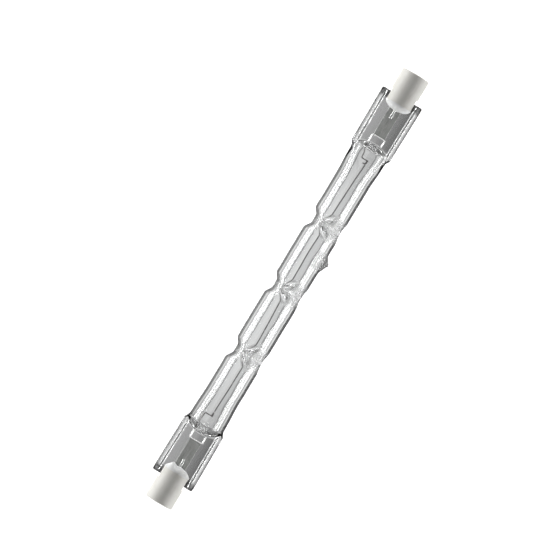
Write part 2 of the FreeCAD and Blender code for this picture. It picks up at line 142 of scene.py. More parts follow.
class BulbStage(bpy.types.PropertyGroup):
    lens: plain_number("Lens", "Focal length in millimetres", 250.0)
    picture_width: in_mm("Picture width", "Width of the picture at the bulb's axis", 131.04)
    turn: in_degrees("Turn", "Bulb's axis above the picture's horizontal", 58.89)
    aim: bpy.props.FloatVectorProperty(
        name="Aim", description="Middle of the picture, in the bulb's plane",
        default=(2.65 * MM, 4.17 * MM), size=2, unit="LENGTH",
    )
    soft_box_power: plain_number("Soft box", "Power of the main soft box in watts", 2.4)
    card_angle: in_degrees("Card", "Half width of the grey card under the bulb", 7)
    card_grey: plain_number("Card grey", "Brightness of the grey card", 0.72)
    glossy_floor: plain_number("Mirrored floor", "Brightness of the floor that the glass mirrors", 0.16)
    ambient: plain_number("Ambient", "Brightness of the room around the floor", 0.04)


# Meshes.


def new_object(name, data):
    piece = bpy.data.objects.new(name, data)
    bpy.context.scene.collection.objects.link(piece)
    return piece


def remove(piece):
    """Deletes an object with its mesh or curve."""
    data = piece.data
    bpy.data.objects.remove(piece)
    (bpy.data.curves if isinstance(data, bpy.types.Curve) else bpy.data.meshes).remove(data)


def shade_smooth(mesh, sharp_angle=math.radians(35)):
    mesh.shade_smooth()
    mesh.set_sharp_from_angle(angle=sharp_angle)


def mesh_from(name, points, faces):
    """A mesh from points in millimetres, in the bulb's own frame about its axis."""
    mesh = bpy.data.meshes.new(name)
    placed = np.asarray(points, float) * MM + np.array((0.0, 0.0, AXIS_HEIGHT))
    mesh.from_pydata(placed.tolist(), [], faces)
    mesh.validate()
    return mesh


def sheet_mesh(name, sheet, place=None):
    """The sheet as a mesh, moved to its place."""
    mesh = bpy.data.meshes.new(name)
    sheet.to_mesh(mesh)
    sheet.free()
    if place is not None:
        mesh.transform(place)
    return mesh


def ring_faces(rings, sides, outwards=True, first=0):
    """Quads between successive rings of points, closed around."""
    faces = []
    for ring in range(rings - 1):
        low, high = first + ring * sides, first + (ring + 1) * sides
        for side in range(sides):
            after = (side + 1) % sides
            quad = (low + side, low + after, high + after, high + side)
            faces.append(quad if outwards else quad[::-1])
    return faces


def strip_cap(sides, facing_x, first):
    """Closes a ring that is its own mirror image in Z, by strips from its top to its bottom."""
    faces = []
    for side in range(sides // 2 - 1):
        low_side, low_after = sides - 1 - side, sides - 2 - side
        quad = (first + side, first + side + 1, first + low_after, first + low_side)
        faces.append(quad if facing_x else quad[::-1])
    return faces


def closed_rings(rings, sides, outwards=True, first=0):
    """The faces of a closed skin through rings of points, from the one at -X on."""
    faces = ring_faces(rings, sides, outwards, first)
    faces += strip_cap(sides, not outwards, first)
    return faces + strip_cap(sides, outwards, first + (rings - 1) * sides)


def turned_mesh(name, profile, sides, sign=1.0):
    """A solid of revolution about the bulb's axis, from a profile of (x, radius) in millimetres."""
    sheet = bmesh.new()
    rings = []
    for along, radius in profile:
        turns = np.linspace(0, 2 * math.pi, sides, endpoint=False) if radius else [0.0]
        corners = [(radius * math.cos(turn), radius * math.sin(turn)) for turn in turns]
        rings.append([sheet.verts.new((sign * along, *corner)) for corner in corners])
    for ring, after in zip(rings, rings[1:] + rings[:1]):
        if len(ring) == len(after) == 1:
            continue
        for side in range(sides):
            beside = (side + 1) % sides
            corners = [ring[side % len(ring)], ring[beside % len(ring)]]
            corners += [after[beside % len(after)], after[side % len(after)]]
            sheet.faces.new(dict.fromkeys(corners))
    bmesh.ops.recalc_face_normals(sheet, faces=sheet.faces)
    return sheet_mesh(name, sheet, IN_PLACE)


def box_mesh(start, end, half_width, half_height):
    """A box from one x to another, about the bulb's axis, in millimetres."""
    sheet = bmesh.new()
    bmesh.ops.create_cube(sheet, size=1.0)
    low, high = (min(start, end), -half_width, -half_height), (max(start, end), half_width, half_height)
    for vert in sheet.verts:
        vert.co = [(a + b) / 2 + c * (b - a) for a, b, c in zip(low, high, vert.co)]
    return sheet_mesh("box", sheet, IN_PLACE)


def freeze(piece):
    """The piece's modifiers made part of a plain mesh."""
    bpy.context.view_layer.update()
    depsgraph = bpy.context.evaluated_depsgraph_get()
    mesh = bpy.data.meshes.new_from_object(piece.evaluated_get(depsgraph))
    name = piece.name
    mesh.name = name
    frozen = new_object(f"{name}_frozen", mesh)
    remove(piece)
    frozen.name = name
    return frozen


def combined(piece, tool_mesh, operation):
    """The piece with the tool's solid taken out of it or joined to it."""
    tool = new_object("tool", tool_mesh)
    modifier = piece.modifiers.new("combine", "BOOLEAN")
    modifier.operation, modifier.solver, modifier.object = operation, "EXACT", tool
    piece = freeze(piece)
    remove(tool)
    return piece


def finish_piece(piece, node, material):
    """The finished piece stands for its CAD node and rides with the bulb."""
    if not len(piece.data.polygons):
        raise RuntimeError(f"{piece.name} has no faces")
    piece.data.materials.clear()
    piece.data.materials.append(material)
    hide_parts(node)
    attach(piece, "root")


# Quartz: the outer skin is where rays from inside each section meet a smooth field.


def smooth_step(value, start, end):
    share = np.clip((value - start) / (end - start), 0.0, 1.0)
    return share * share * (3 - 2 * share)


def smooth_least(one, other, radius):
    share = np.clip(0.5 + 0.5 * (other - one) / radius, 0.0, 1.0)
    return other + (one - other) * share - radius * share * (1 - share)


class QuartzForm:
    """The bulb's quartz in millimetres: x along the bulb, y and z from its axis."""

    # Each neck: its flat middle and its reach along the bulb, how much of the half width is bent
    # in on the +Y and -Y sides, how round its bottom is, and its puckers as a share of the radius.
    neck_flat, neck_reach = 0.8, 3.0
    neck_depth, neck_depth_below = 0.24, 0.07
    neck_rounding = 0.4
    pucker = 0.006
    dimple_slope = math.tan(math.radians(38))
    dimple_turns = (2 * math.pi / 3, -2 * math.pi / 3)

    # The pressed ends: half width gained before the ramps and on them, share of the height that
    # the softer right end loses, where along the bulb these grow, the ramps' slope and curve,
    # and the cavity's flat end.
    swell, shoulder, soft_press = 0.25, 0.62, 0.4
    swell_grows, shoulder_grows, press_grows = (29.0, 36.5), (36.3, 38.6), (30.5, 38.0)
    ramp_slope, ramp_curve = 1.31, 1.3 / 4.0**2
    cavity_half_width, cavity_sag = 3.7, 0.9
    cavity_waves = 0.8

    # The seals: length of the flare, round corners at the free end, where the rims thin out and
    # by how much, the web's hollow, the slope of a rim's inner half, and the rims' round corners.
    flare_length = 14.5
    end_corner, end_loss = 0.5, 0.4
    rim_thins, rim_thin, rim_loss = 12.6, 14.6, 0.6
    rim_ripple = 0.03
    web_hollow = 0.07
    rim_slope, rim_slope_width = 0.44, 0.7
    rim_corner_share = 0.42
    end_round = 0.18

    # How softly the dimples, ramps, seals, rims and shoulders run into their neighbours.
    dimple_blend, ramp_blend, seal_blend, rim_blend, shoulder_blend = 0.45, 0.25, 0.5, 0.35, 0.9

    # The exhaust tip: its mound, its nub, its lean, and the crumples around it.
    mound_height, mound_radius, nub_radius = 0.5, 2.0, 0.8
    tip_lean, tip_bulge = 0.24, 0.2
    tip_crumple, tip_twist, tip_dent = 0.13, 0.1, 0.07

    def __init__(self, sizes):
        for name in BulbQuartz.__annotations__:
            value = getattr(sizes, name)
            if isinstance(value, float):
                setattr(self, name, value if name == "tip_angle" else value / MM)
        self.necks = [self.neck_shift + count * self.neck_pitch for count in (-1, 0, 1)]

    def from_neck(self, x):
        """Distance along the bulb to the nearest neck."""
        return np.min([np.abs(x - place) for place in self.necks], axis=0)

    def narrowing(self, x):
        """How far each neck is bent in, from 0 to 1, flat at its middle."""
        return 1 - smooth_step(self.from_neck(x), self.neck_flat, self.neck_reach)

    def bent_in(self, x, y):
        """Share of the half width that is left at the necks, on the side where y lies."""
        return 1 - np.where(y > 0, self.neck_depth, self.neck_depth_below) * self.narrowing(x)

    def waviness(self, x, angle):
        """Slow unevenness of drawn and flame-worked quartz, as a share of the radius."""
        drawn = 0.0035 * np.sin(x * 0.61 + 1.3) * np.cos(angle + 0.4)
        drawn = drawn + 0.0025 * np.sin(x * 0.93 + 2 * angle + 0.7) - 0.007
        puckered = np.sin(x * 7.5 + 3 * np.sin(angle * 5)) * np.cos(angle * 17 + x * 3.0)
        return drawn - self.pucker * self.narrowing(x) * (1 + puckered)

    def dimple_rise(self, x):
        """How far a dimple's bottom has risen at x, rounded off at the neck itself."""
        away = np.hypot(self.from_neck(x), self.neck_rounding) - self.neck_rounding
        return away * self.dimple_slope

    def dimples(self, x, y, z):
        """Positive inside the wheels that press the dimples of each neck."""
        wheel = self.dimple_wheel - self.dimple_floor - self.dimple_rise(x)
        depths = []
        for turn in self.dimple_turns:
            out = y * math.cos(turn) + z * math.sin(turn)
            sideways = z * math.cos(turn) - y * math.sin(turn)
            depths.append(wheel - np.hypot(out - self.dimple_wheel, sideways))
        return np.maximum(*depths)

    def widened(self, x):
        """Half width that the tube gains towards its ramps."""
        return self.swell * smooth_step(np.abs(x), *self.swell_grows)

    def flattened(self, x):
        """Share of the height that is left before the ramps: the right end was pressed while softer."""
        return 1 - np.where(x > 0, self.soft_press, 0.0) * smooth_step(np.abs(x), *self.press_grows)

    def ramps(self, x, y, z):
        """Positive outside the sloping faces that the press leaves between the bulb and a seal."""
        foot = self.ramp_foot - self.ramp_curve * y**2
        height = self.web_half + (foot - np.abs(x)) * self.ramp_slope
        return (np.abs(z) - height) / math.hypot(1.0, self.ramp_slope)

    def outside(self, x, y, z):
        """Negative inside the quartz's outer skin."""
        half_width = self.radius + self.widened(x)
        half_width = half_width + self.shoulder * smooth_step(np.abs(x), *self.shoulder_grows)
        half_height = self.radius * self.flattened(x)
        across = y / half_width / self.bent_in(x, y)
        reach = 1 + self.waviness(x, np.arctan2(z, y))
        bulb = (np.hypot(across, z / half_height) - reach) * np.sqrt(half_width * half_height)
        bulb = -smooth_least(-bulb, -self.dimples(x, y, z), self.dimple_blend)
        bulb = -smooth_least(-bulb, -self.ramps(x, y, z), self.ramp_blend)
        return smooth_least(bulb, self.seal(x, y, z), self.seal_blend) + self.rounding(x)

    def seal(self, x, y, z):
        """Negative inside a pinch seal, which is a thin web between two thicker rims."""
        along = np.abs(x) - self.seal_start
        side, height = np.abs(y), np.abs(z)
        width = self.seal_half_width + self.seal_flare * np.clip(along / self.flare_length, 0.0, 1.0)
        near_end = np.clip((np.abs(x) - SEAL_END + self.end_corner) / self.end_corner, 0.0, 1.0)
        width = width - self.end_loss * (1 - np.sqrt(1 - near_end**2))
        hollow = self.web_hollow * (1 - (y / width) ** 2)
        web = np.maximum(height - self.web_half + hollow, side - width + self.rim_width / 2)
        middle = width - self.rim_width / 2
        rim_half = self.rim_half - self.rim_loss * smooth_step(along, self.rim_thins, self.rim_thin)
        rim_half = rim_half - self.rim_ripple * np.sin(x * 1.9)
        rim_half = rim_half - self.rim_slope * np.clip(middle + 0.1 - side, 0.0, self.rim_slope_width)
        corner = self.rim_corner_share * self.rim_width
        reach_y = np.abs(side - middle) - self.rim_width / 2 + corner
        reach_z = height - rim_half + corner
        rim = np.hypot(np.maximum(reach_y, 0.0), np.maximum(reach_z, 0.0)) - corner
        rim = rim + np.minimum(np.maximum(reach_y, reach_z), 0.0)
        section = smooth_least(web, rim, self.rim_blend)
        return -smooth_least(-section, along + 0.2, self.shoulder_blend)

    def rounding(self, x):
        """Small rounding of the seal's free end."""
        past = np.clip(np.abs(x) - (SEAL_END - self.end_round), 0.0, self.end_round)
        return self.end_round - np.sqrt(np.maximum(self.end_round**2 - past**2, 0.0))

    def rays(self, x):
        """Each section's ray origins and angles: a star in the tube, a comb across a seal.

        The comb's teeth stand closest where a rim's inner side falls to the web, and at each of its
        ends a fan goes round the rim.
        """
        first_tooth, fan_place, least_angle = 4.62, 4.7, 0.6
        star_to_comb = (34.0, 38.2)
        rim_inside = self.seal_half_width - self.rim_width
        fall_start, fall_end = rim_inside + 0.25, rim_inside - 0.35
        comb = np.concatenate((
            np.linspace(first_tooth, fall_start, 7)[:-1], np.linspace(fall_start, fall_end, 9),
            np.linspace(rim_inside - 0.5, 0, 13),
        ))
        comb = np.concatenate((comb, -comb[-2::-1]))
        fan = np.concatenate((np.linspace(0, 56, 5), np.linspace(62, 90, 13)))
        origin = np.concatenate((np.full(len(fan), fan_place), comb, np.full(len(fan), -fan_place)))
        direction = np.concatenate((fan, np.full(len(comb), 90.0), 180 - fan[::-1]))
        direction = np.clip(direction, least_angle, 180 - least_angle)
        shift = 90 / len(origin)
        star = np.linspace(0, 180, len(origin)) * (1 - 2 * shift / 180) + shift
        blend = smooth_step(np.abs(x), *star_to_comb)[:, None]
        angle = np.radians(star + (direction - star) * blend)
        start = origin * blend
        mirrored = (start[:, ::-1], -angle[:, ::-1])
        return [np.concatenate((half, other), axis=1) for half, other in zip((start, angle), mirrored)]

    def skin(self, x):
        """Points of the outer skin, one ring for each x."""
        start, angle = self.rays(x)
        across, up = np.cos(angle), np.sin(angle)
        along = np.repeat(x[:, None], start.shape[1], axis=1)

        def is_inside(distance):
            return self.outside(along, start + across * distance, up * distance) < 0

        step, most_steps, halvings = 0.08, 90, 14
        low = np.zeros_like(start)
        open_ray = np.ones(start.shape, bool)
        for count in range(1, most_steps):
            open_ray &= is_inside(np.full_like(start, count * step))
            low = np.where(open_ray, count * step, low)
            if not open_ray.any():
                break
        high = low + step
        for _ in range(halvings):
            middle = (low + high) / 2
            inside = is_inside(middle)
            low, high = np.where(inside, middle, low), np.where(inside, high, middle)
        return self.with_tip(np.stack((along, start + across * low, up * low), axis=2))

    def with_tip(self, points):
        """The exhaust tip: a leaning, crumpled drop pulled out of the skin."""
        out = np.array((0.0, math.cos(self.tip_angle), math.sin(self.tip_angle)))
        sideways = np.array((0.0, -out[2], out[1]))
        offset = points - out * self.radius - np.array((self.tip_place, 0.0, 0.0))
        along, across = offset[..., 0], offset @ sideways
        distance = np.hypot(along, across)
        mound = np.exp(-((distance / self.mound_radius) ** 4))
        nub = (self.tip_height - self.mound_height) / (1 + (distance / self.nub_radius) ** 4)
        facing = points @ out > 0
        patch = np.where(facing, mound, 0.0)
        lift = np.where(facing, self.mound_height * mound + nub, 0.0)
        height = lift / self.tip_height
        bulge = self.tip_bulge * np.sin(math.pi * np.clip(height * 1.15 - 0.1, 0, 1)) * facing
        crumple = self.tip_crumple * np.sin(along * 9.3 + 1.0 + across) * np.cos(across * 8.3 + 0.5)
        twist = self.tip_twist * patch * np.sin(across * 9.0 + along * 5.0) * height
        raised = lift * (1 - 0.06 * height) + patch * (crumple - self.tip_dent)
        moved = points + out * raised[..., None] + sideways * (across * bulge + twist)[..., None]
        moved[..., 0] += along * bulge + self.tip_lean * lift + twist
        return moved

    def cavity(self, sides):
        """Rings of the inner skin, whose ends close on an arc across the seal."""
        angle = np.linspace(0, 2 * math.pi, sides, endpoint=False) + math.pi / sides
        wave_shift, wall_shape = 1.7, 0.12
        rings = []
        for x in tube_stations(self, 0.42):
            radius = self.bore * (1 + self.cavity_waves * self.waviness(x + wave_shift, angle))
            limit = self.channel_floor + self.dimple_rise(x)
            for turn in self.dimple_turns:
                facing = np.maximum(np.cos(angle - turn), wall_shape)
                radius = smooth_least(radius, limit / facing, 0.6 * min(1.0, limit))
            y = (radius + self.widened(x)) * np.cos(angle)
            z = radius * self.flattened(x) * np.sin(angle)
            rings.append(np.stack((np.full(sides, x), y * self.bent_in(x, y), z), 1))
        shares = np.concatenate((np.linspace(0, 0.56, 8)[1:], np.linspace(0.6, 0.995, 24)))
        ramp_length = self.cavity_end - self.round_end
        for sign in (-1.0, 1.0):
            wave = self.cavity_waves * self.waviness(sign * self.round_end + wave_shift, angle)
            added = []
            for share in shares:
                left = (1.0 - share) * ramp_length
                place = sign * (self.cavity_end - left)
                half_width = self.bore + self.widened(place)
                half_width = half_width + (self.cavity_half_width - half_width) * share**5
                half_height, limit = self.bore * self.flattened(place), left * self.ramp_slope
                up = smooth_least(half_height * np.abs(np.sin(angle)), limit, min(0.3, limit))
                y, z = half_width * np.cos(angle), up * np.sign(np.sin(angle))
                sag = self.cavity_sag * (y / self.cavity_half_width) ** 2 * share**4
                x = self.round_end + ramp_length * share - sag
                reach = 1 + wave * (1 - share)
                added.append(np.stack((sign * x, y * reach, z * reach), 1))
            rings = added[::-1] + rings if sign < 0 else rings + added
        return np.array(rings)


def tube_stations(form, step):
    """Places along the round tube, closer together at the necks and the exhaust tip."""
    neck_step, tip_step, past_neck, tip_reach = 0.2, 0.09, 0.3, 1.5
    places, x = [-form.round_end], -form.round_end
    while x < form.round_end:
        near_neck = min(abs(x - neck) for neck in form.necks) < form.neck_half_length + past_neck
        near_tip = abs(x - form.tip_place) < tip_reach
        x += tip_step if near_tip else neck_step if near_neck else step
        places.append(min(x, form.round_end))
    return np.array(places)


# Rings past the round tube, closest together on the ramps: from, to and how many.
END_RINGS = ((33.4, 36.4, 8), (36.55, 41.6, 38), (42.2, SEAL_END - 0.3, 14))


def quartz_mesh(sizes):
    """The envelope: its outer skin, and its cavity's skin inside."""
    form = QuartzForm(sizes)
    rounded = SEAL_END - form.end_round * (1 - np.sin(np.radians([0, 25, 50, 70, 90])))
    side = np.concatenate([np.linspace(*rings) for rings in END_RINGS] + [rounded])
    outer = form.skin(np.concatenate((-side[::-1], tube_stations(form, 0.6), side)))
    sides, inner_sides = outer.shape[1], 78
    inner = form.cavity(inner_sides)
    points = np.concatenate((outer.reshape(-1, 3), inner.reshape(-1, 3)))
    faces = closed_rings(len(outer), sides)
    faces += closed_rings(len(inner), inner_sides, False, len(outer) * sides)
    return mesh_from("quartz", points, faces)


# Geometry Nodes: a coil and a plain round wire, each along a path.


def node_tree(name, floats, whole=()):
    """A Geometry Nodes tree whose inputs are a path, the named numbers and a material."""
    tree = bpy.data.node_groups.new(name, "GeometryNodeTree")
    kinds = {"Path": "Geometry"} | dict.fromkeys(floats, "Float") | dict.fromkeys(whole, "Int")
    for label, kind in (kinds | {"Material": "Material"}).items():
        tree.interface.new_socket(label, in_out="INPUT", socket_type=f"NodeSocket{kind}")
    tree.interface.new_socket("Mesh", in_out="OUTPUT", socket_type="NodeSocketGeometry")
    return tree, tree.nodes.new("NodeGroupInput").outputs


def add_node(tree, kind, inputs=None, **settings):
    """A node with its settings, and its inputs set to values or joined to sockets."""
    node = tree.nodes.new(kind)
    for key, value in settings.items():
        setattr(node, key, value)
    for key, value in (inputs or {}).items():
        if isinstance(value, bpy.types.NodeSocket):
            tree.links.new(value, node.inputs[key])
        else:
            node.inputs[key].default_value = value
    return node


def maths(tree, operation, *values):
    return add_node(tree, "ShaderNodeMath", dict(enumerate(values)), operation=operation).outputs[0]


def times(tree, one, other):
    return maths(tree, "MULTIPLY", one, other)


def vector_maths(tree, operation, *values, scale=None):
    inputs = dict(enumerate(values)) | ({} if scale is None else {"Scale": scale})
    return add_node(tree, "ShaderNodeVectorMath", inputs, operation=operation).outputs[0]


def close_tree(tree, given, curve, sides):
    """Makes a round, closed tube around a curve, and ends in Realize Instances and Set Material."""
    profile = add_node(
        tree, "GeometryNodeCurvePrimitiveCircle", {"Resolution": sides, "Radius": given["Wire radius"]}
    )
    tube = add_node(
        tree, "GeometryNodeCurveToMesh",
        {"Curve": curve, "Profile Curve": profile.outputs["Curve"], "Fill Caps": True},
    )
    real = add_node(tree, "GeometryNodeRealizeInstances", {"Geometry": tube.outputs["Mesh"]})
    made = add_node(
        tree, "GeometryNodeSetMaterial",
        {"Geometry": real.outputs["Geometry"], "Material": given["Material"]},
    )
    add_node(tree, "NodeGroupOutput", {"Mesh": made.outputs["Geometry"]})
    return tree


def coil_tree():
    """Wire wound around a path: each point is moved sideways by an angle that grows along it."""
    floats = ("Coil radius", "Wire radius", "Pitch")
    tree, given = node_tree("Coil on a path", floats, ("Points per turn",))
    length = add_node(tree, "GeometryNodeCurveLength", {"Curve": given["Path"]}).outputs["Length"]
    turns = maths(tree, "DIVIDE", length, given["Pitch"])
    count = maths(tree, "ADD", times(tree, turns, given["Points per turn"]), 1.0)
    points = add_node(tree, "GeometryNodeResampleCurve", {"Curve": given["Path"], "Count": count})
    place = add_node(tree, "GeometryNodeSplineParameter").outputs["Length"]
    turn = times(tree, maths(tree, "DIVIDE", place, given["Pitch"]), 2 * math.pi)
    normal = add_node(tree, "GeometryNodeInputNormal").outputs["Normal"]
    tangent = add_node(tree, "GeometryNodeInputTangent").outputs["Tangent"]
    across = vector_maths(tree, "CROSS_PRODUCT", tangent, normal)
    one = vector_maths(tree, "SCALE", normal, scale=maths(tree, "COSINE", turn))
    other = vector_maths(tree, "SCALE", across, scale=maths(tree, "SINE", turn))
    sideways = vector_maths(tree, "ADD", one, other)
    offset = vector_maths(tree, "SCALE", sideways, scale=given["Coil radius"])
    wound = add_node(
        tree, "GeometryNodeSetPosition", {"Geometry": points.outputs["Curve"], "Offset": offset}
    )
    return close_tree(tree, given, wound.outputs["Geometry"], sides=5)


def wire_tree():
    """Round wire along a path whose corners are bent to a radius."""
    tree, given = node_tree("Wire on a path", ("Wire radius", "Bend radius"))
    bent = add_node(
        tree, "GeometryNodeFilletCurve",
        {"Curve": given["Path"], "Radius": given["Bend radius"], "Count": 7, "Limit Radius": True},
        mode="POLY",
    )
    return close_tree(tree, given, bent.outputs["Curve"], sides=20)


def group_named(name, make):
    """The node group of that name, made once."""
    return bpy.data.node_groups.get(name) or make()


def coil():
    return group_named("Coil on a path", coil_tree)


def wire():
    return group_named("Wire on a path", wire_tree)


def grown(name, points, tree, material, **sizes):
    """The mesh that a tree makes along a path through (x, y) in millimetres."""
    curve = bpy.data.curves.new(name, "CURVE")
    curve.dimensions = "3D"
    spline = curve.splines.new("POLY")
    spline.points.add(len(points) - 1)
    for point, (x, y) in zip(spline.points, points):
        point.co = (x * MM, y * MM, AXIS_HEIGHT, 1.0)
    piece = new_object(name, curve)
    modifier = piece.modifiers.new("form", "NODES")
    modifier.node_group = tree
    inputs = [item for item in tree.interface.items_tree if item.in_out == "INPUT"]
    sockets = {item.name: item.identifier for item in inputs}
    for label, value in sizes.items():
        modifier[sockets[label.replace("_", " ").capitalize()]] = value
    if material:
        modifier[sockets["Material"]] = material
    piece = freeze(piece)
    piece.data.shade_smooth()
    return piece


def joined(name, pieces):
    """Several pieces made one mesh."""
    sheet = bmesh.new()
    for piece in pieces:
        sheet.from_mesh(piece.data)
        remove(piece)
    return new_object(name, sheet_mesh(name, sheet))


# Shader groups that several materials share.


def shader_group(name, inputs, outputs):
    """A group of plain numbers, with its inputs' first values."""
    group = bpy.data.node_groups.new(name, "ShaderNodeTree")
    for label, value in inputs.items():
        socket = group.interface.new_socket(label, in_out="INPUT", socket_type="NodeSocketFloat")
        socket.default_value = value
    for label in outputs:
        group.interface.new_socket(label, in_out="OUTPUT", socket_type="NodeSocketFloat")
    return group, group.nodes.new("NodeGroupInput").outputs


def object_place(tree):
    return add_node(tree, "ShaderNodeTexCoord").outputs["Object"]


def parted(tree, vector):
    """A vector's X, Y and Z."""
    return add_node(tree, "ShaderNodeSeparateXYZ", {0: vector}).outputs


def size_of(tree, value):
    return maths(tree, "ABSOLUTE", value)


def noise(tree, place, scale, detail=3.0, roughness=0.55):
    inputs = {"Vector": place, "Scale": scale, "Detail": detail, "Roughness": roughness}
    return add_node(tree, "ShaderNodeTexNoise", inputs).outputs["Fac"]


def spread(tree, value, low, high, out_low=0.0, out_high=1.0):
    """A value between low and high, spread between out_low and out_high."""
    inputs = {"Value": value, "From Min": low, "From Max": high, "To Min": out_low, "To Max": out_high}
    return add_node(tree, "ShaderNodeMapRange", inputs).outputs["Result"]


def mix_colour(tree, share, one, other, blend="MIX"):
    inputs = {0: share, 6: one, 7: other}
    return add_node(tree, "ShaderNodeMix", inputs, data_type="RGBA", blend_type=blend).outputs[2]


def mix_shader(tree, share, one, other):
    return add_node(tree, "ShaderNodeMixShader", {0: share, 1: one.outputs[0], 2: other.outputs[0]})


def grey_ramp(tree, value, stops):
    """Greys at places from 0 to 1."""
    node = add_node(tree, "ShaderNodeValToRGB", {"Fac": value})
    elements = node.color_ramp.elements
    while len(elements) < len(stops):
        elements.new(0.5)
    for element, (place, grey) in zip(elements, stops):
        element.position, element.color = place, (grey, grey, grey, 1.0)
    return node.outputs["Color"]


def drawn_metal_group():
    """Drawing lines along the bulb with dull patches: a mask for colour and one for roughness."""
    group, given = shader_group("Drawn metal", {"Scale": 1.0}, ("Tone", "Dull", "Height"))
    place = vector_maths(group, "SCALE", object_place(group), scale=given["Scale"])
    stretched = vector_maths(group, "MULTIPLY", place, (0.06, 1.0, 1.0))
    lines = noise(group, stretched, 9000.0, 2.0)
    patches = noise(group, place, 1400.0, 4.0)
    tone = spread(group, maths(group, "ADD", lines, patches), 0.7, 1.3)
    dull = spread(group, patches, 0.3, 0.7)
    add_node(group, "NodeGroupOutput", {"Tone": tone, "Dull": dull, "Height": lines})
    return group


def fired_surface_group():
    """Grain, pits and faint stains of ceramic and cement."""
    inputs, outputs = {"Grain": 9000.0, "Pits": 2500.0}, ("Stain", "Speck", "Height")
    group, given = shader_group("Fired surface", inputs, outputs)
    place = object_place(group)
    grain = noise(group, place, given["Grain"], 3.0, 0.7)
    cells = add_node(group, "ShaderNodeTexVoronoi", {"Vector": place, "Scale": given["Pits"]})
    pits = spread(group, cells.outputs["Distance"], 0.05, 0.3)
    stain = spread(group, noise(group, place, 420.0, 4.0), 0.42, 0.75)
    speck = spread(group, noise(group, place, 5200.0, 1.0), 0.66, 0.74)
    height = maths(group, "ADD", times(group, grain, 0.6), times(group, pits, 0.4))
    add_node(group, "NodeGroupOutput", {"Stain": stain, "Speck": speck, "Height": height})
    return group


def place_group(tree, make, name, **inputs):
    return add_node(tree, "ShaderNodeGroup", inputs, node_tree=group_named(name, make)).outputs


def new_material(name):
    material = bpy.data.materials.new(name)
    material.use_nodes = True
    tree = material.node_tree
    tree.nodes.clear()
    shader = tree.nodes.new("ShaderNodeBsdfPrincipled")
    output = tree.nodes.new("ShaderNodeOutputMaterial")
    tree.links.new(shader.outputs["BSDF"], output.inputs["Surface"])
    return material, tree, shader, output


def dress(tree, shader, colour, roughness, height, strength, distance, **plain):
    """Joins a shader's colour, roughness and bump, and sets its plain values."""
    inputs = {"Height": height, "Strength": strength, "Distance": distance}
    normal = add_node(tree, "ShaderNodeBump", inputs).outputs["Normal"]
    for label, socket in (("Base Color", colour), ("Roughness", roughness), ("Normal", normal)):
        tree.links.new(socket, shader.inputs[label])
    for label, value in plain.items():
        shader.inputs[label.replace("_", " ")].default_value = value


def opaque(colour, share=1.0):
    return (*(part * share for part in colour), 1.0)


# Greys of painted shade in the quartz, where the eye meets it from square on (0) to grazing (1).
TUBE_EDGE_SHADE = ((0.0, 1.0), (0.43, 1.0), (0.5, 0.14), (0.76, 0.14), (0.84, 0.6), (1.0, 0.6))

# Greys of painted shade in a seal, where its skin lies flat (0) to where it stands upright (1).
SEAL_EDGE_SHADE = ((0.0, 1.0), (0.12, 1.0), (0.19, 0.06), (0.7, 0.04), (0.85, 0.4), (1.0, 0.4))


def crumpled_mask(tree, sizes, parts):
    """How crumpled the quartz is: 0.4 on the pinched necks and 1 around the exhaust tip."""
    pitch = sizes.neck_pitch
    from_middle = maths(tree, "SUBTRACT", parts["X"], sizes.neck_shift)
    from_neck = size_of(tree, maths(tree, "WRAP", from_middle, pitch / 2, -pitch / 2))
    half = spread(tree, parts["Y"], -3 * MM, 0.0, 2.8 * MM, 0.9 * MM)
    necks = spread(tree, maths(tree, "SUBTRACT", from_neck, half), -0.4 * MM, 0.4 * MM, 1.0, 0.0)
    inner = spread(tree, size_of(tree, parts["X"]), 22 * MM, 23 * MM, 1.0, 0.0)
    from_tip = size_of(tree, maths(tree, "SUBTRACT", parts["X"], sizes.tip_place + 0.3 * MM))
    at_tip = spread(tree, from_tip, 1.4 * MM, 2.3 * MM, 1.0, 0.0)
    tip = times(tree, at_tip, spread(tree, parts["Y"], -3.2 * MM, -2.4 * MM, 1.0, 0.0))
    return maths(tree, "MAXIMUM", times(tree, times(tree, necks, inner), 0.4), tip)


def painted_quartz_shade(tree, parts, crumpled):
    """Painted shade in the quartz's colour: dark edges by the eye's slant on the tube and by the skin's
    own slant on the seals, deeper on the -Y side and on the ramps, lighter on the necks and the tip,
    and mottled at the seals' free ends.
    """
    facing = add_node(tree, "ShaderNodeLayerWeight", {"Blend": 0.5}).outputs["Facing"]
    along = size_of(tree, parts["X"])
    deeper_below = spread(tree, parts["Y"], -1.0 * MM, 1.0 * MM, 1.7, 1.0)
    tube = maths(tree, "POWER", grey_ramp(tree, facing, TUBE_EDGE_SHADE), deeper_below)
    tube = mix_colour(tree, times(tree, crumpled, 0.9), tube, WHITE)
    # Painted shade: where the ramps' skin slants, it is darkened towards black.
    on_ramps = spread(tree, along, 36.2 * MM, 36.8 * MM, 0.0, 0.45)
    tube = mix_colour(tree, times(tree, spread(tree, facing, 0.27, 0.34), on_ramps), tube, BLACK)
    outer = spread(tree, size_of(tree, parts["Y"]), 4.7 * MM, 4.9 * MM, 0.15, -0.05)
    own_normal = parted(tree, add_node(tree, "ShaderNodeTexCoord").outputs["Normal"])
    slant = maths(tree, "SUBTRACT", 1.0, size_of(tree, own_normal["Z"]))
    seal = grey_ramp(tree, maths(tree, "SUBTRACT", slant, outer), SEAL_EDGE_SHADE)
    # Painted shade: darker, mottled greys towards the seals' free ends.
    mottled = spread(tree, noise(tree, object_place(tree), 1300.0, 2.0), 0.4, 0.6, 0.06, 0.5)
    ends = mix_colour(tree, spread(tree, along, 50.3 * MM, 51.1 * MM), WHITE, mottled)
    seal = mix_colour(tree, 1.0, seal, ends, "MULTIPLY")
    return mix_colour(tree, spread(tree, along, 39.2 * MM, 39.9 * MM), tube, seal)


